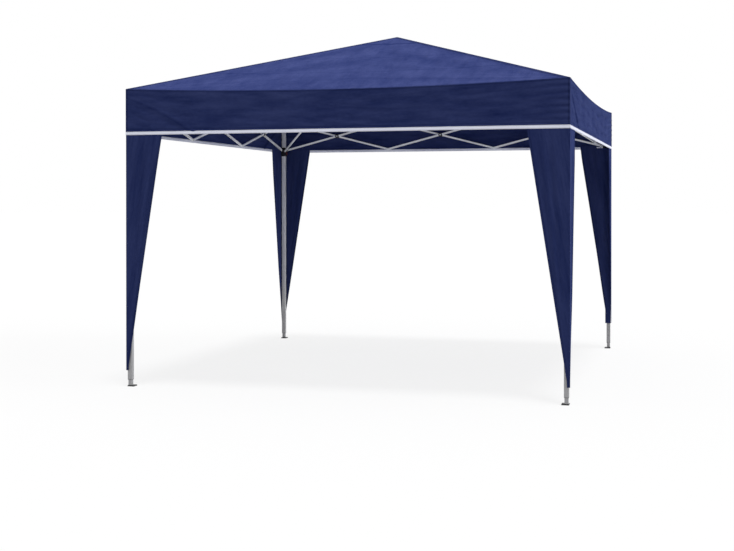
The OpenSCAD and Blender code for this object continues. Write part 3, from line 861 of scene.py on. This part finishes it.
# %% Frame finishes
PAINT_GREY = (0.84, 0.85, 0.88)
PAINT_GRAIN, PAINT_DEPTH = 420, 0.00015
SHADED_LEG_GREY = (0.33, 0.33, 0.34)
LEG_SHADE_LOW, LEG_SHADE_HIGH = 0.20, 1.10
LEG_ROUGH = (0.35, 0.5)
PLASTIC_BLACK = (0.012, 0.012, 0.014)
BUTTON_RED = (0.13, 0.014, 0.014)
STEEL = (0.55, 0.55, 0.56)
CLOUD_SCALE = 0.06
CLOUD_SPREAD = (-0.3, 1.3)
CLOUD_TONES = (0.9, 1.08)


def skin(finish, scale, depth, rough):
    """A fine grain and an uneven gloss, and the clouds that give the tone."""
    place = finish.coords.outputs["Object"]
    clouds = finish.noise(place, scale * CLOUD_SCALE, detail=5)
    grain = finish.noise(place, scale, detail=3)
    finish.roughness(finish.spread(clouds, *rough))
    finish.bump([(grain, depth)])
    return finish.spread(clouds, *CLOUD_SPREAD)


def cloudy(finish, clouds, colour):
    """A colour that is a little darker and lighter by the clouds."""
    return finish.mix(clouds, *(shade(colour, share) for share in CLOUD_TONES))


def plain_finish(name, colour, scale, depth, rough, metallic=0.0):
    """One colour all over, with the skin's grain, gloss and clouds."""
    finish = Finish(name, colour, rough[0], metallic)
    finish.colour(cloudy(finish, skin(finish, scale, depth, rough), colour))
    return finish.material


def leg_finish(name, low_end, high_end):
    """A coat with painted shade that darkens it towards the ground, and black plastic below and above two
    heights.
    """
    finish = Finish(name, PAINT_GREY, roughness=0.4)
    clouds = skin(finish, PAINT_GRAIN, PAINT_DEPTH, LEG_ROUGH)
    height = finish.add("ShaderNodeSeparateXYZ")
    finish.link(finish.coords.outputs["Object"], height.inputs[0])
    # Painted shade: the coat turns darker grey towards the ground.
    rise = finish.math("DIVIDE", finish.math("SUBTRACT", height.outputs[2], LEG_SHADE_LOW), LEG_SHADE_HIGH - LEG_SHADE_LOW)
    paint = finish.mix(rise, cloudy(finish, clouds, SHADED_LEG_GREY), cloudy(finish, clouds, PAINT_GREY))
    below = finish.math("LESS_THAN", height.outputs[2], low_end)
    above = finish.math("GREATER_THAN", height.outputs[2], high_end)
    finish.colour(finish.mix(finish.math("MAXIMUM", below, above), paint, PLASTIC_BLACK))
    return finish.material


powder_coat = plain_finish("powder_coat", PAINT_GREY, PAINT_GRAIN, PAINT_DEPTH, rough=(0.34, 0.5))
black_plastic = plain_finish("black_plastic", PLASTIC_BLACK, scale=700, depth=0.00012, rough=(0.42, 0.6))
red_plastic = plain_finish("red_plastic", BUTTON_RED, scale=500, depth=0.00008, rough=(0.28, 0.4))
bright_steel = plain_finish("bright_steel", STEEL, scale=600, depth=0.00006, rough=(0.25, 0.4), metallic=1.0)

print("plain finishes:", powder_coat.name, black_plastic.name, red_plastic.name, bright_steel.name)

# %% Finishes on the frame
FOOT_TOP = 0.0085
BUSH_LIP = 0.002
BRACKET_SKIRT = 0.0362
leg_low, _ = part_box("front_left_leg")
_, foot_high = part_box("front_left_lower_leg")
upper_leg_finish = leg_finish("upper_leg", leg_low.z + BUSH_LIP, first_top.z - BRACKET_SKIRT)
lower_leg_finish = leg_finish("lower_leg", FOOT_TOP, foot_high.z + 1)


def finish_of(node):
    """The finish of a CAD node, by the end of its name."""
    if node.endswith("_lower_leg"):
        return lower_leg_finish
    if node.endswith("_leg"):
        return upper_leg_finish
    if node.endswith("_slider_button"):
        return red_plastic
    if node.endswith("_leg_button"):
        return bright_steel
    if node.endswith("_slider") or node == "peak_hub":
        return black_plastic
    return powder_coat


for node, part in frame["nodes"].items():
    part.data.materials.clear()
    part.data.materials.append(finish_of(node))
for piece in black_pieces:
    piece.data.materials.append(black_plastic)
print("finishes on", len(frame["nodes"]), "nodes")

# %% [markdown]
# ## Floor, light and background
#
# The photograph stands the gazebo on plain white, with a faint shadow right under it. The main light is high
# and a little to the right, and a broad soft light from the right gives that side its middle tone, while the
# front stays dark. The camera sees the floor almost as white as the background, with part of the shadow.

# %% Stage
SUNS = [("high", (0.12, -0.15, 0.98), 1.20, 14), ("right", (0.93, 0.05, 0.36), 1.40, 40)]
SKY_STRENGTH = 0.54
FLOOR_R = 120.0
FLOOR_GREY, FLOOR_SEEN_GREY = 0.92, 0.95
FLOOR_SHADOW = 0.22


def seen_directly(tree):
    """1 for rays from the camera, a mirror-like face or a clear one, and 0 for the rays that carry light."""
    ray = tree.nodes.new("ShaderNodeLightPath")
    seen = ray.outputs["Is Camera Ray"]
    for kind in ("Is Glossy Ray", "Is Transmission Ray"):
        either = tree.nodes.new("ShaderNodeMath")
        either.operation = "MAXIMUM"
        tree.links.new(seen, either.inputs[0])
        tree.links.new(ray.outputs[kind], either.inputs[1])
        seen = either.outputs[0]
    return seen


def floor_finish():
    """A pale floor that keeps a share of the shadow where it is seen."""
    finish = Finish("floor_paint", (FLOOR_GREY,) * 3, 0.9)
    tree = finish.tree
    seen = seen_directly(tree)
    finish.colour(finish.mix(seen, (FLOOR_GREY,) * 3, (FLOOR_SEEN_GREY,) * 3))
    finish.shader.inputs["Specular IOR Level"].default_value = 0.0
    white = finish.add("ShaderNodeEmission")
    blend = finish.add("ShaderNodeMixShader")
    finish.link(finish.math("MULTIPLY", seen, 1 - FLOOR_SHADOW), blend.inputs[0])
    finish.link(finish.shader.outputs[0], blend.inputs[1])
    finish.link(white.outputs[0], blend.inputs[2])
    finish.link(blend.outputs[0], tree.nodes["Material Output"].inputs["Surface"])
    return finish.material


floor_points = np.array([[-1, -1, 0], [1, -1, 0], [1, 1, 0], [-1, 1, 0]]) * FLOOR_R
floor = piece_from("floor", floor_points, [[0, 1, 2, 3]], smooth=False)
floor.data.materials.append(floor_finish())

for name, place, strength, angle in SUNS:
    sun_data = bpy.data.lights.new(name, "SUN")
    sun_data.energy = strength
    sun_data.angle = math.radians(angle)
    sun = bpy.data.objects.new(name, sun_data)
    sun.rotation_euler = Vector(place).to_track_quat("Z", "Y").to_euler()
    bpy.context.scene.collection.objects.link(sun)

world = bpy.data.worlds.new("sky")
bpy.context.scene.world = world
world.use_nodes = True
sky = world.node_tree.nodes["Background"]
sky.inputs["Color"].default_value = (1, 1, 1, 1)
sky_level = world.node_tree.nodes.new("ShaderNodeMapRange")
sky_level.inputs["To Min"].default_value = SKY_STRENGTH
sky_level.inputs["To Max"].default_value = 1.0
world.node_tree.links.new(seen_directly(world.node_tree), sky_level.inputs["Value"])
world.node_tree.links.new(sky_level.outputs[0], sky.inputs["Strength"])
bpy.context.scene.view_settings.view_transform = "Standard"
print("lights:", len(SUNS), "and the sky")
